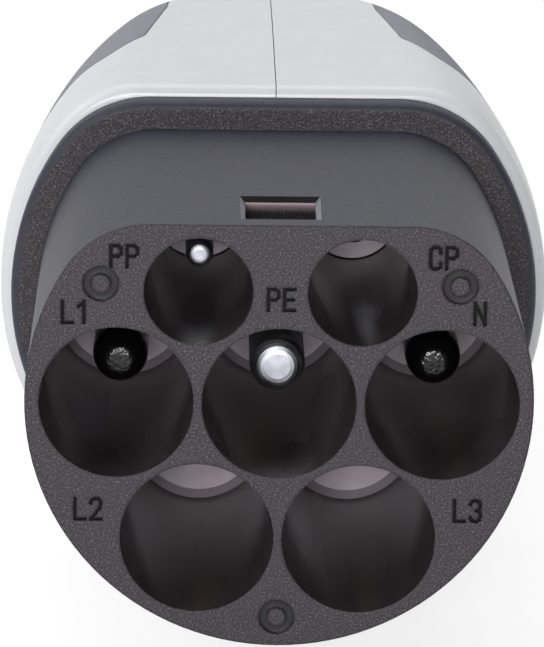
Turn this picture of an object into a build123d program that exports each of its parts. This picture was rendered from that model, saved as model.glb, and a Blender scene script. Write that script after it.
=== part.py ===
from build123d import *
import os
from math import atan2, cos, hypot, radians, sin, sqrt

os.makedirs("parts", exist_ok=True)

# EV charging plug, infrastructure side, single phase, seven-way face.
# Origin: centre of the mating face, on the axis of the earth contact.
# The face looks along -Y, +Z is the flat (keyed) side, all sizes in mm.

# ---- clearances ----
fit_gap = 0.15          # sliding fit between nested mouldings
hole_gap = 0.1          # turned pins and screws in their holes
seam_gap = 0.1          # between the two housing shells

# ---- mating nose ----
contact_pitch = 17.0    # centre distance of neighbouring power contacts
pilot_height = 11.97    # the two pilot contacts above the upper power row
power_bore = 16.15      # mouth diameter of a power socket
pilot_bore = 11.35      # mouth diameter of a pilot socket
bore_depth = 39.7       # from the face to the socket floor
bore_draft = 0.41       # radius lost between mouth and floor
bore_bevel = 0.8        # ledge at the back of a socket
nose_radius = 26.56
nose_flat = 19.1        # height of the flat above the earth contact
nose_corner = 10.4      # corner between the flat and the round
nose_length = 44.65     # from the face to the front of the flange
nose_draft = 0.41       # radius gained between face and flange

# ---- flange round the nose ----
flange_reach = 3.6      # beyond the nose profile
flange_corner = 13.0
flange_thickness = 2.95
flange_edge = 1.0       # rounding of the front edge

# ---- lock recess in the flat ----
lock_width = 7.4
lock_start = 2.6        # behind the face
lock_length = 9.6
lock_depth = 2.5
lock_bevel = 0.45

# ---- ejector dimples in the face ----
dimple_radius = 1.9
dimple_ring = 0.95      # radius of the raised dot inside
dimple_depth = 0.35
dimple_side = 18.6
dimple_side_height = 12.75
dimple_low = 23.4

# ---- skirt of the nose inside the housing ----
skirt_length = 12.4
skirt_wall = 2.9
seal_offset = 0.9       # from the flange to the seal groove
seal_width = 2.2
seal_depth = 1.2
rib_offset = 5.9        # from the flange to the retaining rib
rib_width = 2.8
rib_height = 1.3

# ---- contacts ----
power_pin = 6.0
pilot_pin = 3.0
earth_tip = 14.6        # tip of each pin behind the face
phase_tip = 16.2
proximity_tip = 16.0
control_tip = 27.6
power_tip_flat = 1.4
power_tip_round = 1.6
pilot_tip_flat = 0.6
pilot_tip_round = 0.9
cap_length = 7.5        # insulating cap on the phase and neutral pins
cap_stud = 1.7          # radius of the stud inside the cap
cap_socket = 5.0        # depth of the socket in the cap
power_shoulder = 4.5
pilot_shoulder = 2.9
shoulder_length = 3.5
pin_land = 0.4          # step that seats each pin in the floor of its socket
power_barrel = 3.7
pilot_barrel = 2.2
power_wire = 2.4
pilot_wire = 1.3
barrel_reach = 11.0     # solder barrel behind the contact plate
barrel_bore = 9.0

# ---- contact carrier and contact plate ----
carrier_wall = 2.0      # of the nose round the carrier
plate_thickness = 5.0
plate_screw_places = [(14.5, 90.0), (22.5, 210.0), (22.5, 330.0)]
plate_screw_bite = 6.0  # into the webs of the nose

# ---- screws ----
screw_radius = 1.45
screw_head = 2.75
screw_head_height = 2.0
screw_slot = 0.8
screw_slot_depth = 0.9

# ---- housing ----
wall = 2.6
rim_step = 1.34         # housing rim beyond the flange
rim_round = 1.4
rim_land = 2.2          # straight rim in front of the taper
rim_length = 14.4       # straight bore that takes the skirt
body_corner = 11.5
foot_cut = 0.9          # flat foot under the round
housing_length = 148.4
handle_radius = 18.5
handle_drop = 12.6      # axis of the handle's end below the nose axis
end_wall = 4.0

# Stations of the housing: position along it, share of the change in radius
# from body to handle, share of the drop, height of the top flat over the local
# radius (the first one follows the body), corner radius over the body's.
stations = [
    (0.000, 0.000, 0.000, None, 1.00),
    (0.097, 0.000, 0.000, 0.768, 0.96),
    (0.185, 0.062, 0.000, 0.795, 0.70),
    (0.286, 0.177, 0.008, 0.836, 0.48),
    (0.380, 0.331, 0.071, 0.904, 0.50),
    (0.474, 0.508, 0.206, 0.955, 0.52),
    (0.582, 0.731, 0.429, 0.968, 0.54),
    (0.690, 0.892, 0.659, 0.965, 0.57),
    (0.811, 0.977, 0.873, 0.947, 0.60),
    (0.919, 1.000, 0.976, 0.919, 0.61),
    (1.000, 1.000, 1.000, 0.908, 0.61),
]

# ---- soft grip panels ----
grip_thickness = 1.7
grip_start = 17.6       # behind the rim of the housing
grip_nose_x = 20.5      # where the front edge turns into the upper edge
grip_bend_x = 15.4
grip_bend = 10.2        # run of the turn along the plug
grip_top_x = 13.0       # upper edge further back
grip_top_run = 30.0
grip_tail_x = 11.0
grip_length = 96.0
grip_low_front = 13.0   # lower edge below the nose axis
grip_low_rear = 17.5
grip_corner = 6.0

# ---- housing screws, in pairs across the seam ----
boss_radius = 4.3
screw_seat = 8.0        # head seat, beside the seam
screw_bite = 8.0        # thread in the far boss
# position behind the rim, share of the local radius above the axis
screw_places = [(27.0, 0.50), (27.0, -0.66), (90.0, -0.66), (104.0, 0.60)]

# ---- cable clamp ----
cable_radius = 6.5
clamp_place = 20.0      # in front of the housing's end
clamp_width = 9.0
clamp_wall = 2.0
clamp_boss = 2.8
clamp_foot = 3.0
cradle_width = 3.0

# ---- cable gland ----
gland_bore = 7.0
gland_neck = 10.5
gland_flange = 12.5
gland_flange_width = 3.0
gland_hex = 13.4
gland_hex_width = 3.4
gland_thread = 9.9
gland_thread_length = 11.0
gland_seal_length = 8.0
gland_seal_wall = 1.7
nut_radius = 13.2
nut_length = 15.0
nut_mouth = 7.4
nut_flutes = 12
nut_flute_radius = 1.0
nut_round = 2.5

# ------------------------------------------------------------ derived places
pilot_x = contact_pitch / 2
low_height = contact_pitch * sin(radians(60))
earth_at = (0.0, 0.0)
line_at = (-contact_pitch, 0.0)
neutral_at = (contact_pitch, 0.0)
line2_at = (-contact_pitch / 2, -low_height)
line3_at = (contact_pitch / 2, -low_height)
proximity_at = (-pilot_x, pilot_height)
control_at = (pilot_x, pilot_height)

flange_back = nose_length + flange_thickness
body_radius = nose_radius + flange_reach + rim_step
body_flat = nose_flat + flange_reach + rim_step
ring_end = flange_back + rim_length
land_end = flange_back + rim_land
tail = flange_back + housing_length
skirt_radius = body_radius - wall - fit_gap
skirt_flat = body_flat - wall - fit_gap
skirt_corner = body_corner - wall - fit_gap
plate_back = flange_back + plate_thickness
barrel_end = plate_back + barrel_reach
cable_height = -handle_drop


def across(y):
    """Plane square to the plug's axis, drawn in X and Z."""
    return Plane(origin=(0, y, 0), x_dir=(1, 0, 0), z_dir=(0, -1, 0))


def rod(at, y0, y1, r0, r1=None):
    """Round bar or cone along the plug's axis."""
    base = Plane(origin=(at[0], y0, at[1]), x_dir=(1, 0, 0), z_dir=(0, 1, 0))
    low = (Align.CENTER, Align.CENTER, Align.MIN)
    if r1 is None or r1 == r0:
        return base * Cylinder(r0, y1 - y0, align=low)
    return base * Cone(r0, r1, y1 - y0, align=low)


def crossbar(y, z, x0, x1, radius):
    """Round bar across the seam, along X."""
    base = Plane(origin=(x0, y, z), x_dir=(0, 1, 0), z_dir=(1, 0, 0))
    return base * Cylinder(radius, x1 - x0, align=(Align.CENTER, Align.CENTER, Align.MIN))


def box(x0, x1, y0, y1, z0, z1):
    middle = Pos((x0 + x1) / 2, (y0 + y1) / 2, (z0 + z1) / 2)
    return middle * Box(x1 - x0, y1 - y0, z1 - z0)


def d_face(radius, flat, corner, foot=None, centre=0.0):
    """Round profile with a flat top and, if asked, a flat foot."""
    xc = sqrt((radius - corner) ** 2 - (flat - corner) ** 2)
    turn = atan2(flat - corner, xc)
    middle_turn = (turn + radians(90)) / 2
    arc_mid = (xc + corner * cos(middle_turn), flat - corner + corner * sin(middle_turn))
    join = (radius * cos(turn), radius * sin(turn))
    if foot is None:
        end = (0.0, -radius)
    else:
        end = (sqrt(radius ** 2 - foot ** 2), -foot)
    end_turn = atan2(end[1], end[0])
    side_turn = (turn + end_turn) / 2
    side_mid = (radius * cos(side_turn), radius * sin(side_turn))

    def p(point, side=1):
        return (side * point[0], point[1] + centre)

    edges = [Line(p((xc, flat), -1), p((xc, flat)))]
    edges.append(ThreePointArc(p((xc, flat)), p(arc_mid), p(join)))
    edges.append(ThreePointArc(p(join), p(side_mid), p(end)))
    if foot is not None:
        edges.append(Line(p(end), p(end, -1)))
    edges.append(ThreePointArc(p(end, -1), p(side_mid, -1), p(join, -1)))
    edges.append(ThreePointArc(p(join, -1), p(arc_mid, -1), p((xc, flat), -1)))
    return make_face(edges)


def prism(face, y0, y1):
    """Profile carried straight back from y0 to y1."""
    return extrude(across(y0) * face, amount=y1 - y0, dir=(0, 1, 0))


def turned(points, at):
    """Body of revolution from (radius, y) points, standing at a contact place."""
    outline = make_face(Polyline(*points, close=True))
    return Pos(at[0], 0, at[1]) * revolve(outline, Axis.Y, 360)


def pan_screw(reach):
    """Pan head screw along +Z, seat at z = 0, head below the seat."""
    low = (Align.CENTER, Align.CENTER, Align.MIN)
    head = Pos(0, 0, -screw_head_height) * Cylinder(screw_head, screw_head_height, align=low)
    head = chamfer(head.edges().group_by(Axis.Z)[0], screw_head_height * 0.3)
    slot = Box(screw_head * 1.2, screw_slot, screw_slot_depth * 2)
    cross = slot + Rot(0, 0, 90) * slot
    head -= Pos(0, 0, -screw_head_height) * cross
    return head + Cylinder(screw_radius, reach, align=low)


# ------------------------------------------------------------------- nose
nose = loft([
    across(0) * d_face(nose_radius, nose_flat, nose_corner),
    across(nose_length) * d_face(
        nose_radius + nose_draft, nose_flat + nose_draft, nose_corner + nose_draft),
])
flange_face = d_face(nose_radius + flange_reach, nose_flat + flange_reach, flange_corner)
flange = prism(flange_face, nose_length, flange_back)
flange = fillet(flange.edges().group_by(Axis.Y)[0], flange_edge)
nose += flange

skirt_end = flange_back + skirt_length
skirt = prism(d_face(skirt_radius, skirt_flat, skirt_corner), flange_back, skirt_end)


def skirt_inset(depth):
    return d_face(skirt_radius - depth, skirt_flat - depth, skirt_corner - depth)


def skirt_groove(start, width, depth):
    ring = prism(d_face(skirt_radius + 1, skirt_flat + 1, skirt_corner + 1), start, start + width)
    return ring - prism(skirt_inset(depth), start, start + width)


seal_start = flange_back + seal_offset
skirt -= skirt_groove(seal_start, seal_width, seal_depth)
rib_start = flange_back + rib_offset
skirt -= skirt_groove(rib_start - fit_gap, rib_width + 2 * fit_gap, rib_height + fit_gap)
nose += skirt


def socket(at, diameter):
    """Drafted contact socket, narrowed by a bevelled ledge at its back."""
    mouth = diameter / 2
    floor = mouth - bore_draft
    ledge = bore_depth - bore_bevel
    drafted = rod(at, 0, ledge, mouth, floor)
    return drafted + rod(at, ledge, bore_depth, floor, floor - bore_bevel)


for place in (earth_at, line_at, neutral_at, line2_at, line3_at):
    nose -= socket(place, power_bore)
for place in (proximity_at, control_at):
    nose -= socket(place, pilot_bore)



def nose_inset(depth):
    grown = nose_draft - depth
    return d_face(nose_radius + grown, nose_flat + grown, nose_corner + grown)


# Rear pocket: the carrier's seat, then the room for the contact plate.
nose -= prism(nose_inset(carrier_wall), bore_depth, flange_back)
nose -= prism(skirt_inset(skirt_wall), flange_back, skirt_end)
plate_screw_at = []
for ring, angle in plate_screw_places:
    turn = radians(angle)
    plate_screw_at.append((ring * cos(turn), ring * sin(turn)))
for place in plate_screw_at:
    nose -= rod(place, bore_depth - plate_screw_bite - 0.5, bore_depth + 1,
                screw_radius + hole_gap)

pocket = box(-lock_width / 2, lock_width / 2, lock_start, lock_start + lock_length,
             nose_flat - lock_depth, nose_flat + 3)
lead_in = loft([
    Pos(0, 0, nose_flat - lock_bevel) * Pos(0, lock_start + lock_length / 2)
    * Rectangle(lock_width, lock_length),
    Pos(0, 0, nose_flat + lock_bevel) * Pos(0, lock_start + lock_length / 2 + lock_bevel)
    * Rectangle(lock_width + 4 * lock_bevel, lock_length + 2 * lock_bevel),
])
nose -= pocket + lead_in

for place in ((-dimple_side, dimple_side_height), (dimple_side, dimple_side_height),
              (0, -dimple_low)):
    nose -= rod(place, 0, dimple_depth, dimple_radius) - rod(
        place, 0, dimple_depth, dimple_ring)

# --------------------------------------- contact carrier and contact plate
carrier = prism(nose_inset(carrier_wall + fit_gap), bore_depth, flange_back)
power_places = (earth_at, line_at, neutral_at)
pilot_places = (proximity_at, control_at)
for places, pin, shoulder in (
        (power_places, power_pin, power_shoulder),
        (pilot_places, pilot_pin, pilot_shoulder)):
    for place in places:
        carrier -= rod(place, bore_depth, flange_back, pin / 2 + pin_land + hole_gap)
        carrier -= rod(place, flange_back - shoulder_length, flange_back, shoulder + hole_gap)
for place in plate_screw_at:
    carrier -= rod(place, bore_depth, flange_back, screw_radius + hole_gap)

plate_inset = skirt_wall + fit_gap
contact_plate = prism(skirt_inset(plate_inset), flange_back, plate_back)
for place in power_places:
    contact_plate -= rod(place, flange_back, plate_back, power_barrel + hole_gap)
for place in pilot_places:
    contact_plate -= rod(place, flange_back, plate_back, pilot_barrel + hole_gap)
for place in plate_screw_at:
    contact_plate -= rod(place, flange_back, plate_back, screw_radius + hole_gap)

# ---------------------------------------------------------------- contacts


def contact(at, pin, tip, tip_flat, tip_round, shoulder, barrel, wire, stud=None):
    """Turned contact: pin, trapped shoulder and bored solder barrel."""
    r = pin / 2
    if stud is None:
        end = []
        for step in range(7):
            turn = radians(90 - 15 * step)
            end.append((tip_flat + (r - tip_flat) * cos(turn),
                        tip + tip_round - tip_round * sin(turn)))
        points = [(0, tip)] + end
    else:
        front = tip + cap_length
        points = [(0, tip + cap_length - cap_socket + hole_gap)]
        points += [(stud, tip + cap_length - cap_socket + hole_gap), (stud, front), (r, front)]
    points += [
        (r, bore_depth),
        (r + pin_land, bore_depth),
        (r + pin_land, flange_back - shoulder_length),
        (shoulder, flange_back - shoulder_length),
        (shoulder, flange_back),
        (barrel, flange_back),
        (barrel, barrel_end),
        (wire, barrel_end),
        (wire, barrel_end - barrel_bore),
        (0, barrel_end - barrel_bore - wire * 0.5),
    ]
    return turned(points, at)


def pin_cap(at):
    """Insulating cap with a domed end, pressed over the stud of a pin."""
    r = power_pin / 2
    end = []
    for step in range(7):
        turn = radians(90 - 15 * step)
        end.append((power_tip_flat * 0.7 + (r - power_tip_flat * 0.7) * cos(turn),
                    phase_tip + power_tip_round * 1.2 * (1 - sin(turn))))
    back = phase_tip + cap_length
    inside = cap_stud + hole_gap / 2
    points = [(0, phase_tip)] + end + [
        (r, back), (inside, back), (inside, back - cap_socket), (0, back - cap_socket)]
    return turned(points, at)


power_end = (power_tip_flat, power_tip_round, power_shoulder, power_barrel, power_wire)
pilot_end = (pilot_tip_flat, pilot_tip_round, pilot_shoulder, pilot_barrel, pilot_wire)
pe_contact = contact(earth_at, power_pin, earth_tip, *power_end)
l1_contact = contact(line_at, power_pin, phase_tip, *power_end, stud=cap_stud)
n_contact = contact(neutral_at, power_pin, phase_tip, *power_end, stud=cap_stud)
pp_contact = contact(proximity_at, pilot_pin, proximity_tip, *pilot_end)
cp_contact = contact(control_at, pilot_pin, control_tip, *pilot_end)
l1_tip = pin_cap(line_at)
n_tip = pin_cap(neutral_at)

# Coding resistor between the proximity and the earth barrels.
resistor_radius = 1.3
resistor_length = 6.0
resistor_lead = 0.35
resistor_back = 4.0     # behind the contact plate
span = hypot(*proximity_at)
away = (proximity_at[0] / span, proximity_at[1] / span)
lead_start = power_barrel + hole_gap
lead_end = span - pilot_barrel - hole_gap
lead_plane = Plane(
    origin=(away[0] * lead_start, plate_back + resistor_back, away[1] * lead_start),
    x_dir=(0, 1, 0), z_dir=(away[0], 0, away[1]))
lead_length = lead_end - lead_start
coding_resistor = lead_plane * (
    Cylinder(resistor_lead, lead_length, align=(Align.CENTER, Align.CENTER, Align.MIN))
    + Pos(0, 0, lead_length / 2) * Cylinder(resistor_radius, resistor_length))

# ------------------------------------------------------------- flange seal
seal_outer = d_face(body_radius - wall - 0.05, body_flat - wall - 0.05, body_corner - wall - 0.05)
seal_inner = skirt_inset(seal_depth - 0.05)
seal_side = 0.1
flange_seal = prism(seal_outer, seal_start + seal_side, seal_start + seal_width - seal_side)
flange_seal -= prism(seal_inner, seal_start, seal_start + seal_width)

# ----------------------------------------------------------------- housing
def section(station, inset=0.0):
    """Housing profile at a station, set in by a wall or a panel."""
    share, in_radius, in_drop, flat_share, in_corner = station
    radius = body_radius - (body_radius - handle_radius) * in_radius
    centre = -handle_drop * in_drop
    if flat_share is None:
        flat = body_flat
    else:
        flat = radius * flat_share
    face = d_face(radius - inset, flat - inset, body_corner * in_corner - inset, None, centre)
    return across(land_end + (tail - land_end) * share) * face


def at_station(y):
    """Local radius and centre height of the housing."""
    share = (y - land_end) / (tail - land_end)
    for low, high in zip(stations, stations[1:]):
        if share <= high[0]:
            break
    t = (share - low[0]) / (high[0] - low[0])
    in_radius = low[1] + (high[1] - low[1]) * t
    in_drop = low[2] + (high[2] - low[2]) * t
    return body_radius - (body_radius - handle_radius) * in_radius, -handle_drop * in_drop


def ring_face(inset=0.0):
    return d_face(body_radius - inset, body_flat - inset, body_corner - inset)


def body(inset=0.0):
    """Housing form, set in by a wall or a panel."""
    return loft([section(s, inset) for s in stations])


foot_level = foot_cut - body_radius
rim = prism(ring_face(), flange_back, land_end)
outer = fillet(rim.edges().group_by(Axis.Y)[0], rim_round) + body()
outer -= box(-99, 99, flange_back - 1, tail + 1, -99, foot_level)
inner = body(wall) & box(-99, 99, ring_end, tail - end_wall, -99, 99)
inner += prism(ring_face(wall), flange_back - 1, ring_end)
shell = outer - inner
rib = prism(ring_face(wall - 0.2), rib_start, rib_start + rib_width)
rib -= prism(ring_face(wall + rib_height), rib_start, rib_start + rib_width)
shell += rib
shell -= rod((0, cable_height), tail - end_wall - 1, tail + 1, gland_neck + hole_gap)

# Pockets for the soft grips: everything outside the inset body, inside the
# grip outline drawn from above and from the side.
front = flange_back + grip_start


def grip_zone(side, gap):
    low = front + gap
    rear = front + grip_length - gap
    above = Polyline(
        (side * 60, low), (side * (grip_nose_x + gap), low),
        (side * (grip_bend_x + gap), front + grip_bend + gap),
        (side * (grip_top_x + gap), front + grip_top_run),
        (side * (grip_tail_x + gap), rear),
        (side * 60, rear), close=True)
    plan = make_face(above)
    inner_corners = plan.vertices().sort_by(Axis.X)
    if side > 0:
        picks = [inner_corners[2], inner_corners[3]]
    else:
        picks = [inner_corners[-3], inner_corners[-4]]
    plan = fillet(picks, grip_corner)
    zone = extrude(Pos(0, 0, -60) * plan, amount=120)
    profile = make_face(Polyline(
        (low, 60), (low, -grip_low_front + gap),
        (rear, -grip_low_rear + gap), (rear, 60), close=True))
    rounded = profile.vertices().group_by(Axis.Y)
    profile = fillet(list(rounded[0]) + list(rounded[1]), grip_corner)
    side_plane = Plane(origin=(-60, 0, 0), x_dir=(0, 1, 0), z_dir=(1, 0, 0))
    return zone & extrude(side_plane * profile, amount=120)


pocket_floor = body(grip_thickness)
grip_skin = outer - body(grip_thickness - hole_gap)
grip_right = grip_skin & grip_zone(1, hole_gap)
grip_left = mirror(grip_right, Plane.YZ)
for side in (-1, 1):
    shell -= grip_zone(side, 0.0) - pocket_floor

right_side = box(seam_gap / 2, 99, -99, 399, -99, 99)
left_side = box(-99, -seam_gap / 2, -99, 399, -99, 99)
housing_right = shell & right_side
housing_left = shell & left_side

# Screw bosses across the seam; heads sit deep in the right shell.
screw_list = []
for offset, share in screw_places:
    y = flange_back + offset
    radius, centre = at_station(y)
    screw_list.append((y, centre + share * radius))
boss_limit = pocket_floor
for y, z in screw_list:
    boss = crossbar(y, z, -60, 60, boss_radius) & boss_limit
    housing_right += boss & right_side
    housing_left += boss & left_side
for y, z in screw_list:
    housing_right -= crossbar(y, z, screw_seat, 60, screw_head + fit_gap)
    housing_right -= crossbar(y, z, 0, screw_seat, screw_radius + hole_gap)
    housing_left -= crossbar(y, z, -screw_bite - 1, 0, screw_radius + hole_gap)

# Clamp bosses and cradle rib in the right shell.
clamp_y = tail - clamp_place
clamp_seat = 1.0
clamp_outer = cable_radius + clamp_wall
clamp_half = clamp_outer + screw_head
clamp_at = []
for side in (-1, 1):
    clamp_at.append((clamp_y, cable_height + side * clamp_half))
clamp_zone = box(clamp_seat, 99, clamp_y - 20, clamp_y + 15, -99, 99)
for y, z in clamp_at:
    housing_right += crossbar(y, z, clamp_seat, 60, clamp_boss) & boss_limit & clamp_zone
cradle = box(clamp_seat, 99, clamp_y - cradle_width / 2, clamp_y + cradle_width / 2, -99, 99)
cradle = cradle & boss_limit
cradle -= rod((0, cable_height), clamp_y - 10, clamp_y + 10, cable_radius + hole_gap)
housing_right += cradle
for y, z in clamp_at:
    housing_right -= crossbar(y, z, 0, clamp_seat + screw_bite, screw_radius + hole_gap)

# ------------------------------------------------------------ cable clamp
clamp_low = clamp_y - clamp_width / 2
clamp_high = clamp_y + clamp_width / 2
foot_half = clamp_half + clamp_boss
cable_clamp = rod((0, cable_height), clamp_low, clamp_high, clamp_outer)
cable_clamp += box(clamp_seat - clamp_foot, clamp_seat, clamp_low, clamp_high,
                   cable_height - foot_half, cable_height + foot_half)
cable_clamp = cable_clamp & box(-99, clamp_seat, clamp_low, clamp_high, -99, 99)
cable_clamp -= rod((0, cable_height), clamp_low, clamp_high, cable_radius + hole_gap)
for y, z in clamp_at:
    cable_clamp -= crossbar(y, z, -clamp_outer, clamp_seat + 1, screw_radius + hole_gap)

# ----------------------------------------------------------------- screws
housing_screws = []
for y, z in screw_list:
    place = Plane(origin=(screw_seat, y, z), x_dir=(0, 1, 0), z_dir=(-1, 0, 0))
    housing_screws.append(place * pan_screw(screw_seat + screw_bite))
clamp_screws = []
for y, z in clamp_at:
    place = Plane(origin=(clamp_seat - clamp_foot, y, z), x_dir=(0, 1, 0), z_dir=(1, 0, 0))
    clamp_screws.append(place * pan_screw(clamp_foot + screw_bite - 0.5))
plate_screws = []
for x, z in plate_screw_at:
    place = Plane(origin=(x, plate_back, z), x_dir=(1, 0, 0), z_dir=(0, -1, 0))
    reach = plate_back - bore_depth + plate_screw_bite
    plate_screws.append(place * pan_screw(reach))

# ------------------------------------------------------------ cable gland
cable_at = (0.0, cable_height)
inside = tail - end_wall
gland_body = rod(cable_at, inside - gland_flange_width, inside, gland_flange)
gland_body += rod(cable_at, inside, tail, gland_neck)
hexagon = across(tail) * (Pos(0, cable_height) * RegularPolygon(gland_hex, 6))
gland_body += extrude(hexagon, amount=gland_hex_width, dir=(0, 1, 0))
thread_start = tail + gland_hex_width
thread_end = thread_start + gland_thread_length
gland_body += rod(cable_at, thread_start, thread_end, gland_thread)
gland_body -= rod(cable_at, inside - 10, thread_end + 1, gland_bore)
seal_seat = gland_seal_length * 0.75
seal_radius = cable_radius + gland_seal_wall
gland_body -= rod(cable_at, thread_end - seal_seat, thread_end + 1, seal_radius + hole_gap)

gland_seal_start = thread_end - seal_seat
gland_seal = rod(cable_at, gland_seal_start, gland_seal_start + gland_seal_length, seal_radius)
gland_seal -= rod(cable_at, gland_seal_start - 1, thread_end + 9, cable_radius + hole_gap)

nut_start = thread_start + hole_gap
nut_end = nut_start + nut_length
gland_nut = rod(cable_at, nut_start, nut_end, nut_radius)
gland_nut = fillet(gland_nut.edges().group_by(Axis.Y)[-1], nut_round)
for step in range(nut_flutes):
    turn = radians(360 / nut_flutes * step)
    place = (nut_radius * cos(turn), cable_height + nut_radius * sin(turn))
    gland_nut -= rod(place, nut_start - 1, nut_end - nut_round - 1, nut_flute_radius)
nut_inside = gland_thread + hole_gap
cone_start = gland_seal_start + gland_seal_length + hole_gap
gland_nut -= rod(cable_at, nut_start - 1, cone_start, nut_inside)
gland_nut -= rod(cable_at, cone_start - 1, nut_end + 1, nut_mouth)

# ------------------------------------------------------------------ export
nodes = {
    "nose": nose,
    "contact_carrier": carrier,
    "contact_plate": contact_plate,
    "pe_contact": pe_contact,
    "l1_contact": l1_contact,
    "n_contact": n_contact,
    "pp_contact": pp_contact,
    "cp_contact": cp_contact,
    "l1_tip": l1_tip,
    "n_tip": n_tip,
    "coding_resistor": coding_resistor,
    "flange_seal": flange_seal,
    "housing_left": housing_left,
    "housing_right": housing_right,
    "grip_left": grip_left,
    "grip_right": grip_right,
    "housing_screws": Compound(children=housing_screws),
    "plate_screws": Compound(children=plate_screws),
    "cable_clamp": cable_clamp,
    "clamp_screws": Compound(children=clamp_screws),
    "gland_body": gland_body,
    "gland_seal": gland_seal,
    "gland_nut": gland_nut,
}
for name, shape in nodes.items():
    export_step(shape, f"parts/{name}.step")
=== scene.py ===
import bpy
import bmesh
import math
from mathutils import Matrix, Vector


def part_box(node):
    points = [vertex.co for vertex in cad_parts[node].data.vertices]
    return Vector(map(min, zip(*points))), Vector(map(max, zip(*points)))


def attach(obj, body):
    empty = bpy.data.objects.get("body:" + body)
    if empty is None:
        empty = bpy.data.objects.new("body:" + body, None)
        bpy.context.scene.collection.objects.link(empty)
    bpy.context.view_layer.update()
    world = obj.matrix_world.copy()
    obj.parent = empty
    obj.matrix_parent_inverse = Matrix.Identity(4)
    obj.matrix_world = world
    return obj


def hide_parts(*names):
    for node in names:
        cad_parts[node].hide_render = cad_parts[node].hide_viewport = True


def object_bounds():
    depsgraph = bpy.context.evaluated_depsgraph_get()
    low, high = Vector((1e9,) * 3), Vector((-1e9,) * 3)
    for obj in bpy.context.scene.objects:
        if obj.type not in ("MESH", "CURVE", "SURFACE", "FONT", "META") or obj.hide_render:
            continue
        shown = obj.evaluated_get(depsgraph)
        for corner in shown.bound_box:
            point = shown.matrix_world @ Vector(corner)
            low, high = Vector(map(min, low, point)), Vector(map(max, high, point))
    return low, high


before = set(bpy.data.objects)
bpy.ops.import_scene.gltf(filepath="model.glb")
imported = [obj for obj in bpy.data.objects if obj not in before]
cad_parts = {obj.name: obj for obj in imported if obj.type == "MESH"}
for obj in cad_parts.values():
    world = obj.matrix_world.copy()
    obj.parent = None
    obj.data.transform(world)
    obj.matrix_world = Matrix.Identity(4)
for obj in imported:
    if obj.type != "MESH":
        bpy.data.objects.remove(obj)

CAD_BOX = [list(map(float, corner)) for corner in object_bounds()]
MM = 0.001

# Places on the mating face, in mm from the earth pin's axis. X is across, Z is up, and Y
# runs from the face into the plug.
PITCH = 17.0                  # between neighbouring power contacts
LOWER_ROW_Z = -PITCH * math.sin(math.radians(60))
PILOT_X = PITCH / 2
PILOT_Z = 11.97
POWER_REACH = 8.1             # radius that takes in a power socket's wall
PILOT_REACH = 5.75            # the same for a pilot socket
SOCKETS = (
    (0, 0, POWER_REACH), (-PITCH, 0, POWER_REACH), (PITCH, 0, POWER_REACH),
    (-PITCH / 2, LOWER_ROW_Z, POWER_REACH), (PITCH / 2, LOWER_ROW_Z, POWER_REACH),
    (-PILOT_X, PILOT_Z, PILOT_REACH), (PILOT_X, PILOT_Z, PILOT_REACH),
)
DIMPLES = ((-18.6, 12.75), (18.6, 12.75), (0, -23.4))
DIMPLE_REACH = 1.95
DIMPLE_DEPTH = 1.0
FACE_SKIN = 0.001             # what lies in front of this is the face itself
LEDGE_FROM = 38.85            # depth at which a socket's ledge begins
FLANGE_FROM = 44.5            # depth just in front of the flange

# Lock recess in the flat, and the lead-in round its mouth: ranges along X, Y and Z.
RECESS = ((-3.71, 3.71), (2.5, 12.3), (16, 18.6))
LEAD_IN = ((-4.7, 4.7), (2.3, 13.2), (18.5, 19.7))
# Heights in mm over which the recess's colour runs from painted shade at its floor to painted
# light at its lip.
RECESS_PAINTED_SHADE_Z, RECESS_PAINTED_LIGHT_Z = 16.6, 18.7

# Contact designations, with the centre of each.
LABELS = (
    ("PP", -16.2, 15.7), ("CP", 16.8, 15.8), ("L1", -21.4, 9.7), ("N", 20.7, 9.9),
    ("PE", 0.1, 11.2), ("L2", -19.9, -11.6), ("L3", 19.9, -11.5),
)
LABEL_REACH_X, LABEL_REACH_Z = 2.0, 1.6
SIGN_HEIGHT, SIGN_WIDTH, SIGN_GAP = 2.25, 1.05, 0.62
NARROW_SIGN = 0.62            # share of the width that the figure 1 takes
STROKE_HALF = 0.18
STROKE_OVERRUN = 0.98         # how far a stroke runs past its end, in half widths
CUTTER_FRONT, ENGRAVED_DEPTH = -0.5, 0.3

# Raised floors of the two pilot sockets: wide in the socket, narrow through the ledge.
PAD_BORE, PAD_WIDE, PAD_NARROW = 1.6, 5.15, 4.35
PAD_FRONT, PAD_STEP = 36.0, 38.8
PAD_GAP = 0.02                # between a pad's back and the carrier's front

# Insulating caps on the L1 and N pins.
CAP_RADIUS, CAP_TIP_FLAT, CAP_TAPER = 3.0, 1.1, 4.2
CAP_HOLLOW_RADIUS, CAP_HOLLOW_DEPTH = 1.75, 5.0
CAP_ARC_STEPS = 12


# ------------------------------------------------------------------ camera
IMAGE_HEIGHT = 647            # pixels
FOCAL_LENGTH = 4086.51        # pixels
SENSOR = 24.0                 # mm
CAMERA_PLACE = Vector((-7.2967, -409.2453, 117.0171)) * MM
CAMERA_RIGHT = Vector((0.999842, -0.012308, 0.012827))
CAMERA_UP = Vector((-0.009248, 0.256084, 0.966611))
CAMERA_FORWARD = Vector((0.015182, 0.966577, -0.25593))


def link(obj):
    bpy.context.scene.collection.objects.link(obj)
    return obj


def make_camera():
    """The photograph's viewpoint, solved from the rims, floors and outlines of the plug."""
    data = bpy.data.cameras.new("camera")
    data.sensor_fit = "VERTICAL"
    data.sensor_height = SENSOR
    data.lens = FOCAL_LENGTH / IMAGE_HEIGHT * SENSOR
    data.clip_start = 0.01
    data.clip_end = 20
    camera = link(bpy.data.objects.new("camera", data))
    turn = Matrix((CAMERA_RIGHT, CAMERA_UP, -CAMERA_FORWARD)).transposed()
    camera.matrix_world = Matrix.Translation(CAMERA_PLACE) @ turn.to_4x4()
    bpy.context.scene.camera = camera


make_camera()


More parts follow.
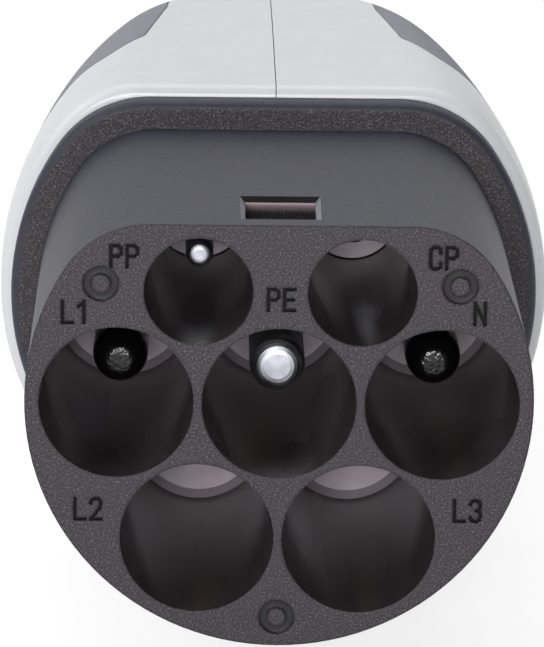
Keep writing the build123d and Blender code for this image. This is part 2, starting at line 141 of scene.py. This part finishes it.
# ------------------------------------------------------------ shader building
def new_material(name):
    material = bpy.data.materials.new(name)
    material.use_nodes = True
    return material, material.node_tree, material.node_tree.nodes["Principled BSDF"]


def srgb(red, green, blue):
    """Linear colour from display values of 0 to 255."""
    out = []
    for value in (red, green, blue):
        value = value / 255
        out.append(value / 12.92 if value <= 0.04045 else ((value + 0.055) / 1.055) ** 2.4)
    return (*out, 1.0)


def coords(nt, scale=(1, 1, 1)):
    """Object coordinates, in metres, stretched along each axis by the scale."""
    place = nt.nodes.new("ShaderNodeTexCoord")
    mapping = nt.nodes.new("ShaderNodeMapping")
    mapping.inputs["Scale"].default_value = scale
    nt.links.new(place.outputs["Object"], mapping.inputs["Vector"])
    return mapping.outputs["Vector"]


def noise(nt, vec, scale, detail=2.0, rough=0.5):
    texture = nt.nodes.new("ShaderNodeTexNoise")
    texture.inputs["Scale"].default_value = scale
    texture.inputs["Detail"].default_value = detail
    texture.inputs["Roughness"].default_value = rough
    nt.links.new(vec, texture.inputs["Vector"])
    return texture.outputs["Fac"]


def ramp(nt, fac, stops):
    node = nt.nodes.new("ShaderNodeValToRGB")
    elements = node.color_ramp.elements
    while len(elements) < len(stops):
        elements.new(0.5)
    for element, (position, colour) in zip(elements, stops):
        element.position = position
        element.color = colour
    nt.links.new(fac, node.inputs["Fac"])
    return node.outputs["Color"]


def bump(nt, height, strength, distance, normal=None):
    node = nt.nodes.new("ShaderNodeBump")
    node.inputs["Strength"].default_value = strength
    node.inputs["Distance"].default_value = distance
    nt.links.new(height, node.inputs["Height"])
    if normal is not None:
        nt.links.new(normal, node.inputs["Normal"])
    return node.outputs["Normal"]


def rounded(nt, radius):
    """Normal that softens edges by this radius, in metres."""
    node = nt.nodes.new("ShaderNodeBevel")
    node.samples = 4
    node.inputs["Radius"].default_value = radius
    return node.outputs["Normal"]


def remap(nt, value, from_range, to_range):
    node = nt.nodes.new("ShaderNodeMapRange")
    node.inputs["From Min"].default_value, node.inputs["From Max"].default_value = from_range
    node.inputs["To Min"].default_value, node.inputs["To Max"].default_value = to_range
    nt.links.new(value, node.inputs["Value"])
    return node.outputs["Result"]


def roughness(nt, grain, rough):
    """Roughness between two values, by the middle of a noise's range."""
    return remap(nt, grain, (0.3, 0.7), rough)


def plastic(name, dark, light, grain, depth, rough, edge=0.0, spec=0.5):
    """Moulded plastic: mottled between two tones, with a fine grain of this depth."""
    material, nt, b = new_material(name)
    vec = coords(nt)
    mottle = noise(nt, vec, grain * 0.12, 3.0)
    fine = noise(nt, vec, grain, 2.0, 0.6)
    nt.links.new(ramp(nt, mottle, [(0.3, dark), (0.7, light)]), b.inputs["Base Color"])
    nt.links.new(roughness(nt, fine, rough), b.inputs["Roughness"])
    normal = rounded(nt, edge) if edge else None
    nt.links.new(bump(nt, fine, 1.0, depth, normal), b.inputs["Normal"])
    b.inputs["Specular IOR Level"].default_value = spec
    return material


def eroded_plastic(name, stops, rough, edge):
    """Plastic from a spark-eroded mould, with a coarse grain; its colour is partly the
    plastic's own mottle and partly painted glints, pale dots on a dark ground standing in for
    the grain's sparkle.
    """
    material, nt, b = new_material(name)
    vec = coords(nt)
    grain = noise(nt, vec, 4200, 2.0, 0.7)
    glint_speck = noise(nt, vec, 4900, 2.0, 0.7)
    nt.links.new(ramp(nt, glint_speck, stops), b.inputs["Base Color"])
    b.inputs["Specular IOR Level"].default_value = 0.4
    nt.links.new(roughness(nt, grain, rough), b.inputs["Roughness"])
    nt.links.new(bump(nt, grain, 1.0, 0.00006, rounded(nt, edge)), b.inputs["Normal"])
    return material


def recess_light_and_shade():
    """Glossy lock recess with painted light and shade: its colour runs from dark at its floor
    to pale at its lip, by height alone.
    """
    material, nt, b = new_material("nose_recess_painted_light_and_shade")
    vec = coords(nt)
    place = nt.nodes.new("ShaderNodeSeparateXYZ")
    nt.links.new(vec, place.inputs[0])
    height = remap(nt, place.outputs["Z"], (RECESS_PAINTED_SHADE_Z * MM, RECESS_PAINTED_LIGHT_Z * MM), (0.0, 1.0))
    stops = [(0.0, srgb(24, 21, 24)), (0.50, srgb(46, 41, 45)), (0.80, srgb(118, 104, 108)),
             (1.0, srgb(196, 178, 180))]
    nt.links.new(ramp(nt, height, stops), b.inputs["Base Color"])
    fine = noise(nt, vec, 3600, 2.0)
    nt.links.new(roughness(nt, fine, (0.18, 0.30)), b.inputs["Roughness"])
    nt.links.new(bump(nt, fine, 0.5, 0.000006), b.inputs["Normal"])
    return material


def socket_plastic():
    """Semi-gloss dark socket wall with painted reflections: pale brownish stripes, stretched
    along the way the core was drawn, stand in for light reflected along the wall.
    """
    material, nt, b = new_material("nose_socket")
    reflection_streak = noise(nt, coords(nt, (1, 0.10, 1)), 180, 1.0)
    stops = [(0.3, srgb(42, 36, 39)), (0.55, srgb(52, 44, 45)), (0.75, srgb(70, 58, 53))]
    nt.links.new(ramp(nt, reflection_streak, stops), b.inputs["Base Color"])
    nt.links.new(roughness(nt, reflection_streak, (0.24, 0.30)), b.inputs["Roughness"])
    fine = noise(nt, coords(nt), 2600, 1.0)
    nt.links.new(bump(nt, fine, 0.5, 0.000006), b.inputs["Normal"])
    return material


def metal(name, dark, light, rough, stretch=(1, 1, 1)):
    """Metal with a faint tarnish; the stretch turns its grain into rings across the axis."""
    material, nt, b = new_material(name)
    turned = noise(nt, coords(nt, stretch), 900, 2.0)
    stain = noise(nt, coords(nt), 420, 3.0)
    nt.links.new(ramp(nt, stain, [(0.3, dark), (0.65, light)]), b.inputs["Base Color"])
    nt.links.new(roughness(nt, turned, rough), b.inputs["Roughness"])
    nt.links.new(bump(nt, turned, 0.5, 0.00001), b.inputs["Normal"])
    b.inputs["Metallic"].default_value = 1.0
    return material


# --------------------------------------------------------------- materials
NOSE_LOOKS = {
    "face": eroded_plastic(
        "nose_face",
        [(0.34, srgb(18, 14, 19)), (0.50, srgb(48, 41, 49)), (0.64, srgb(80, 71, 80)),
         (0.76, srgb(148, 136, 146))],
        rough=(0.34, 0.62), edge=0.00045),
    "side": plastic("nose_side", srgb(42, 43, 55), srgb(48, 49, 62), grain=4200,
                    depth=0.000010, rough=(0.46, 0.58), edge=0.0003, spec=0.4),
    "socket": socket_plastic(),
    # Engraved letters and the front and back faces of the recess's lead-in: a near-black copy
    # of the nose plastic, painted shade in these cuts.
    "painted_shade_in_cuts": plastic("painted_shade_in_cuts", srgb(8, 7, 8), srgb(13, 12, 13), grain=4200,
                         depth=0.00002, rough=(0.6, 0.7), spec=0.2),
    # Flange front: the face's eroded plastic made darker throughout, painted shade.
    "flange": eroded_plastic(
        "nose_flange_painted_shade",
        [(0.34, srgb(14, 11, 14)), (0.50, srgb(40, 34, 40)), (0.62, srgb(68, 60, 67)),
         (0.74, srgb(136, 125, 133))],
        rough=(0.38, 0.64), edge=0.0003),
    "recess": recess_light_and_shade(),
    # Ejector grooves: a darker copy of the nose plastic, painted shade in the hollows.
    "dimple": plastic("ejector_groove_in_painted_shade", srgb(26, 23, 26), srgb(34, 30, 34), grain=4200,
                      depth=0.00002, rough=(0.3, 0.42), edge=0.0006, spec=0.35),
    "ledge": plastic("socket_ledge", srgb(118, 109, 115), srgb(132, 122, 128), grain=2400,
                     depth=0.00002, rough=(0.30, 0.42)),
    # Side faces of the recess's lead-in: a pale copy of the nose plastic, painted light.
    "lead_in": plastic("recess_lead_in_painted_light", srgb(112, 113, 122), srgb(124, 125, 134), grain=4200,
                       depth=0.00001, rough=(0.36, 0.46), edge=0.0002),
}
CARRIER = plastic("carrier", srgb(158, 147, 154), srgb(174, 162, 169), grain=2400,
                  depth=0.00003, rough=(0.36, 0.50))
HOUSING = plastic("housing", srgb(203, 204, 208), srgb(207, 208, 212), grain=2600,
                  depth=0.0000012, rough=(0.28, 0.34))
GRIP = plastic("grip", srgb(133, 133, 142), srgb(139, 139, 148), grain=4200,
               depth=0.00005, rough=(0.6, 0.8), edge=0.0003, spec=0.3)
PLATE = plastic("plate", srgb(50, 50, 54), srgb(58, 58, 62), grain=1800,
                depth=0.00002, rough=(0.4, 0.55))
CAP = plastic("cap", srgb(9, 8, 9), srgb(14, 13, 14), grain=1900,
              depth=0.00012, rough=(0.12, 0.20))
GLAND = plastic("gland", srgb(44, 44, 48), srgb(54, 54, 58), grain=2600,
                depth=0.00002, rough=(0.38, 0.5), edge=0.0003)
SEAL = plastic("seal", srgb(26, 26, 27), srgb(34, 34, 35), grain=2600,
               depth=0.00003, rough=(0.6, 0.75))
RESISTOR = plastic("resistor", srgb(120, 140, 150), srgb(135, 152, 160), grain=1800,
                   depth=0.00001, rough=(0.2, 0.3))
SILVER = metal("silver", srgb(150, 152, 162), srgb(204, 206, 213), rough=(0.26, 0.52),
               stretch=(0.3, 6.0, 0.3))
STEEL = metal("steel", srgb(150, 150, 152), srgb(176, 176, 178), rough=(0.25, 0.4))

# The nose, the carrier and the two caps aren't here: a piece of the scene replaces each.
NODE_LOOKS = (
    (SILVER, ("pe_contact", "l1_contact", "n_contact", "pp_contact", "cp_contact")),
    (HOUSING, ("housing_left", "housing_right")),
    (GRIP, ("grip_left", "grip_right")),
    (PLATE, ("contact_plate", "cable_clamp")),
    (STEEL, ("housing_screws", "plate_screws", "clamp_screws")),
    (GLAND, ("gland_body", "gland_nut")),
    (SEAL, ("flange_seal", "gland_seal")),
    (RESISTOR, ("coding_resistor",)),
)
for look, nodes in NODE_LOOKS:
    for node in nodes:
        for material_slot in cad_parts[node].material_slots:
            material_slot.material = look


# -------------------------------------------------------- nose with engraving
# Strokes of each sign in a box 1 wide and 1 high; a sign is drawn by its centre lines.
GLYPHS = {
    "P": [[(0, 0), (0, 1), (0.7, 1), (1, 0.88), (1, 0.62), (0.7, 0.5), (0, 0.5)]],
    "C": [[(1, 0.74), (0.95, 0.92), (0.7, 1), (0.3, 1), (0.05, 0.9), (0, 0.7), (0, 0.3),
           (0.05, 0.1), (0.3, 0), (0.7, 0), (0.95, 0.08), (1, 0.26)]],
    "E": [[(1, 0), (0, 0), (0, 1), (1, 1)], [(0, 0.5), (0.85, 0.5)]],
    "L": [[(0, 1), (0, 0), (1, 0)]],
    "N": [[(0, 0), (0, 1), (1, 0), (1, 1)]],
    "1": [[(0, 0.76), (0.85, 1), (0.85, 0)]],
    "2": [[(0, 0.78), (0.1, 0.93), (0.35, 1), (0.65, 1), (0.92, 0.92), (1, 0.75), (0.9, 0.55),
           (0, 0), (1, 0)]],
    "3": [[(0, 0.82), (0.12, 0.94), (0.4, 1), (0.65, 1), (0.92, 0.92), (1, 0.76), (0.9, 0.58),
           (0.6, 0.52), (0.9, 0.46), (1, 0.26), (0.92, 0.08), (0.65, 0), (0.4, 0),
           (0.12, 0.06), (0, 0.18)]],
}


def add_prism(bm, corners):
    """Closed prism along Y on these (x, z) corners, from before the face to the depth."""
    front = [bm.verts.new(Vector((x, CUTTER_FRONT, z)) * MM) for x, z in corners]
    back = [bm.verts.new(Vector((x, ENGRAVED_DEPTH, z)) * MM) for x, z in corners]
    bm.faces.new(front)
    bm.faces.new(back[::-1])
    for k in range(len(corners)):
        j = (k + 1) % len(corners)
        bm.faces.new((front[j], front[k], back[k], back[j]))


def add_sign(bm, sign, left, width, bottom):
    """One sign as a prism for each stroke between two of its points."""
    for line in GLYPHS[sign]:
        points = [Vector((left + u * width, bottom + v * SIGN_HEIGHT)) for u, v in line]
        for start, end in zip(points, points[1:]):
            along = (end - start).normalized()
            side = Vector((-along.y, along.x)) * STROKE_HALF
            a = start - along * STROKE_HALF * STROKE_OVERRUN
            b = end + along * STROKE_HALF * STROKE_OVERRUN
            add_prism(bm, [a + side, b + side, b - side, a - side])


def label_cutter():
    """All the designations as stroke prisms that dip into the face."""
    bm = bmesh.new()
    for text, x, z in LABELS:
        widths = [NARROW_SIGN * SIGN_WIDTH if sign == "1" else SIGN_WIDTH for sign in text]
        left = x - (sum(widths) + SIGN_GAP * (len(text) - 1)) / 2
        for width, sign in zip(widths, text):
            add_sign(bm, sign, left, width, z - SIGN_HEIGHT / 2)
            left += width + SIGN_GAP
    bmesh.ops.recalc_face_normals(bm, faces=bm.faces)
    mesh = bpy.data.meshes.new("label_cutter")
    bm.to_mesh(mesh)
    bm.free()
    return link(bpy.data.objects.new("label_cutter", mesh))


def within(point, ranges):
    return all(low < value < high for value, (low, high) in zip(point, ranges))


def nose_look(centre, normal):
    """Which of the nose's looks a polygon takes, by its centre in mm and its normal."""
    x, y, z = centre
    socket = any(math.hypot(x - u, z - v) < reach for u, v, reach in SOCKETS)
    if y > FLANGE_FROM:
        return "flange" if normal.y < -0.97 else "side"
    if socket and y > LEDGE_FROM:
        return "ledge"
    if within(centre, RECESS):
        return "recess"
    # On the lead-in, side faces take painted light and front and back faces take painted shade.
    if within(centre, LEAD_IN) and normal.z < 0.95:
        return "lead_in" if abs(normal.x) > 0.3 else "painted_shade_in_cuts"
    if y < FACE_SKIN:
        return "face"
    if y < DIMPLE_DEPTH and any(math.hypot(x - u, z - v) < DIMPLE_REACH for u, v in DIMPLES):
        return "dimple"
    if socket:
        return "socket"
    # Engraved letters take the painted shade.
    if y < ENGRAVED_DEPTH + 0.01 and any(
            abs(x - u) < LABEL_REACH_X and abs(z - v) < LABEL_REACH_Z for _, u, v in LABELS):
        return "painted_shade_in_cuts"
    return "side"


def shade(mesh, sharp_degrees):
    """Smooth shading, apart from edges sharper than this angle."""
    for polygon in mesh.polygons:
        polygon.use_smooth = True
    mesh.set_sharp_from_angle(angle=math.radians(sharp_degrees))


def engrave(nose, cutter):
    """The nose's mesh with the cutter taken out of it."""
    cut = nose.modifiers.new("engrave", "BOOLEAN")
    cut.operation = "DIFFERENCE"
    cut.solver = "EXACT"
    cut.object = cutter
    cut.use_self = True
    bpy.context.view_layer.update()
    evaluated = nose.evaluated_get(bpy.context.evaluated_depsgraph_get())
    mesh = bpy.data.meshes.new_from_object(evaluated)
    nose.modifiers.clear()
    bpy.data.objects.remove(cutter)
    # The CAD mesh's own normals no longer fit round the cuts.
    if "custom_normal" in mesh.attributes:
        mesh.attributes.remove(mesh.attributes["custom_normal"])
    return mesh


def make_nose():
    """The nose with its designations, one look for each kind of surface."""
    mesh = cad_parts["nose"].data.copy()
    bm = bmesh.new()
    bm.from_mesh(mesh)
    bmesh.ops.remove_doubles(bm, verts=bm.verts, dist=0.001 * MM)
    bm.to_mesh(mesh)
    bm.free()
    nose = link(bpy.data.objects.new("nose_engraved", mesh))
    nose.data = engrave(nose, label_cutter())
    nose.data.materials.clear()
    for material in NOSE_LOOKS.values():
        nose.data.materials.append(material)
    order = {look: index for index, look in enumerate(NOSE_LOOKS)}
    for polygon in nose.data.polygons:
        polygon.material_index = order[nose_look(polygon.center / MM, polygon.normal)]
    shade(nose.data, 28)
    even = nose.modifiers.new("even_normals", "WEIGHTED_NORMAL")
    even.mode = "FACE_AREA"
    even.weight = 100
    even.keep_sharp = True
    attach(nose, "root")
    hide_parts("nose")


make_nose()


# ------------------------------------------------------- carrier and pin caps
def lathe(profile, x, z, around=64):
    """Closed turned solid about a line along Y; the profile is (radius, y) pairs in metres."""
    bm = bmesh.new()
    rings = []
    for radius, y in profile:
        if radius == 0.0:
            rings.append([bm.verts.new((x, y, z))])
            continue
        ring = []
        for k in range(around):
            turn = 2 * math.pi * k / around
            ring.append(bm.verts.new((x + radius * math.cos(turn), y,
                                      z + radius * math.sin(turn))))
        rings.append(ring)
    if profile[0][0] != 0.0:
        rings.append(rings[0])
    for one, two in zip(rings, rings[1:]):
        for k in range(around):
            j = (k + 1) % around
            corners = (one[k % len(one)], one[j % len(one)], two[j % len(two)],
                       two[k % len(two)])
            bm.faces.new(list(dict.fromkeys(corners)))
    bmesh.ops.recalc_face_normals(bm, faces=bm.faces)
    return bm


def make_carrier():
    """Contact carrier whose two pilot floors stand higher than the power floors."""
    bm = bmesh.new()
    bm.from_mesh(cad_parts["contact_carrier"].data)
    pad_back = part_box("contact_carrier")[0][1] - PAD_GAP * MM
    profile = [(PAD_BORE * MM, PAD_FRONT * MM), (PAD_WIDE * MM, PAD_FRONT * MM),
               (PAD_WIDE * MM, PAD_STEP * MM), (PAD_NARROW * MM, PAD_STEP * MM),
               (PAD_NARROW * MM, pad_back), (PAD_BORE * MM, pad_back)]
    for x in (-PILOT_X, PILOT_X):
        turned = lathe(profile, x * MM, PILOT_Z * MM)
        pad = bpy.data.meshes.new("pad")
        turned.to_mesh(pad)
        turned.free()
        bm.from_mesh(pad)
        bpy.data.meshes.remove(pad)
    mesh = bpy.data.meshes.new("contact_carrier_raised")
    bm.to_mesh(mesh)
    bm.free()
    shade(mesh, 35)
    mesh.materials.append(CARRIER)
    for polygon in mesh.polygons:
        polygon.material_index = 0
    carrier = link(bpy.data.objects.new("contact_carrier_raised", mesh))
    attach(carrier, "root")
    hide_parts("contact_carrier")


make_carrier()


def make_cap(node, x):
    """Bullet-shaped insulating cap, turned about the pin's axis."""
    low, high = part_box(node)
    front, back = low[1], high[1]
    radius, flat, taper = CAP_RADIUS * MM, CAP_TIP_FLAT * MM, CAP_TAPER * MM
    hollow, bottom = CAP_HOLLOW_RADIUS * MM, back - CAP_HOLLOW_DEPTH * MM
    profile = [(0.0, front)]
    for step in range(CAP_ARC_STEPS + 1):
        turn = math.radians(90 * step / CAP_ARC_STEPS)
        profile.append((flat + (radius - flat) * math.sin(turn),
                        front + taper * (1 - math.cos(turn))))
    profile += [(radius, back), (hollow, back), (hollow, bottom), (0.0, bottom)]
    bm = lathe(profile, x, 0)
    mesh = bpy.data.meshes.new(node + "_bullet")
    bm.to_mesh(mesh)
    bm.free()
    shade(mesh, 40)
    mesh.materials.append(CAP)
    cap = link(bpy.data.objects.new(node + "_bullet", mesh))
    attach(cap, "root")
    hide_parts(node)


make_cap("l1_tip", -PITCH * MM)
make_cap("n_tip", PITCH * MM)


# ------------------------------------------------------------ floor and light
def seen_by(nt, *rays):
    """1 for the rays that are named, 0 for all others."""
    path = nt.nodes.new("ShaderNodeLightPath")
    seen = path.outputs[rays[0]]
    for ray in rays[1:]:
        either = nt.nodes.new("ShaderNodeMath")
        either.operation = "MAXIMUM"
        nt.links.new(seen, either.inputs[0])
        nt.links.new(path.outputs[ray], either.inputs[1])
        seen = either.outputs[0]
    return seen


def mix_shaders(nt, fac, unseen, seen):
    mix = nt.nodes.new("ShaderNodeMixShader")
    nt.links.new(fac, mix.inputs["Fac"])
    nt.links.new(unseen, mix.inputs[1])
    nt.links.new(seen, mix.inputs[2])
    return mix.outputs[0]


def make_floor():
    """Pale floor just under the plug: it looks nearly white and keeps the plug's shadow."""
    floor_z = CAD_BOX[0][2] - 0.05 * MM
    bpy.ops.mesh.primitive_plane_add(size=8, location=(0, 0.5, floor_z))
    floor = bpy.context.object
    floor.name = "studio_floor"
    material, nt, b = new_material("floor")
    b.inputs["Base Color"].default_value = (0.8, 0.8, 0.8, 1)
    b.inputs["Roughness"].default_value = 0.9
    b.inputs["Specular IOR Level"].default_value = 0.0
    pale = nt.nodes.new("ShaderNodeBsdfDiffuse")
    pale.inputs["Color"].default_value = (0.32, 0.32, 0.32, 1)
    glow = nt.nodes.new("ShaderNodeEmission")
    glow.inputs["Color"].default_value = (1, 1, 1, 1)
    glow.inputs["Strength"].default_value = 0.78
    both = nt.nodes.new("ShaderNodeAddShader")
    nt.links.new(pale.outputs[0], both.inputs[0])
    nt.links.new(glow.outputs[0], both.inputs[1])
    seen = seen_by(nt, "Is Camera Ray", "Is Transmission Ray", "Is Glossy Ray")
    nt.links.new(mix_shaders(nt, seen, b.outputs[0], both.outputs[0]),
                 nt.nodes["Material Output"].inputs["Surface"])
    floor.data.materials.append(material)


def background(nt):
    """White background shader."""
    node = nt.nodes.new("ShaderNodeBackground")
    node.inputs["Color"].default_value = (1, 1, 1, 1)
    return node


def make_world():
    """A pale room, bright behind the plug and dim in front; the camera sees plain white."""
    world = bpy.data.worlds.new("world")
    bpy.context.scene.world = world
    world.use_nodes = True
    nt = world.node_tree
    place = nt.nodes.new("ShaderNodeTexCoord")
    axes = nt.nodes.new("ShaderNodeSeparateXYZ")
    nt.links.new(place.outputs["Generated"], axes.inputs[0])
    room = background(nt)
    nt.links.new(remap(nt, axes.outputs["Y"], (-0.2, 0.6), (0.11, 0.85)),
                 room.inputs["Strength"])
    white = background(nt)
    white.inputs["Strength"].default_value = 1.0
    seen = seen_by(nt, "Is Camera Ray", "Is Transmission Ray")
    nt.links.new(mix_shaders(nt, seen, room.outputs[0], white.outputs[0]),
                 nt.nodes["World Output"].inputs["Surface"])


def area(name, place, aim, size, power):
    """Rectangular lamp: places and sizes in metres, power in watts."""
    light = bpy.data.lights.new(name, "AREA")
    light.shape = "RECTANGLE"
    light.size, light.size_y = size
    light.energy = power
    lamp = link(bpy.data.objects.new(name, light))
    lamp.location = place
    lamp.rotation_euler = (Vector(aim) - Vector(place)).to_track_quat("-Z", "Y").to_euler()


make_floor()
make_world()
area("key_left", place=(-0.75, -0.35, 0.60), aim=(0, 0.03, 0), size=(0.6, 0.6), power=4.4)
area("top", place=(0.0, 0.25, 0.95), aim=(0, 0.05, 0), size=(0.9, 0.6), power=3.2)
area("front", place=(-0.12, -1.5, 0.34), aim=(0, 0.02, -0.005), size=(0.45, 0.35), power=14.5)

bpy.context.scene.view_settings.view_transform = "Standard"
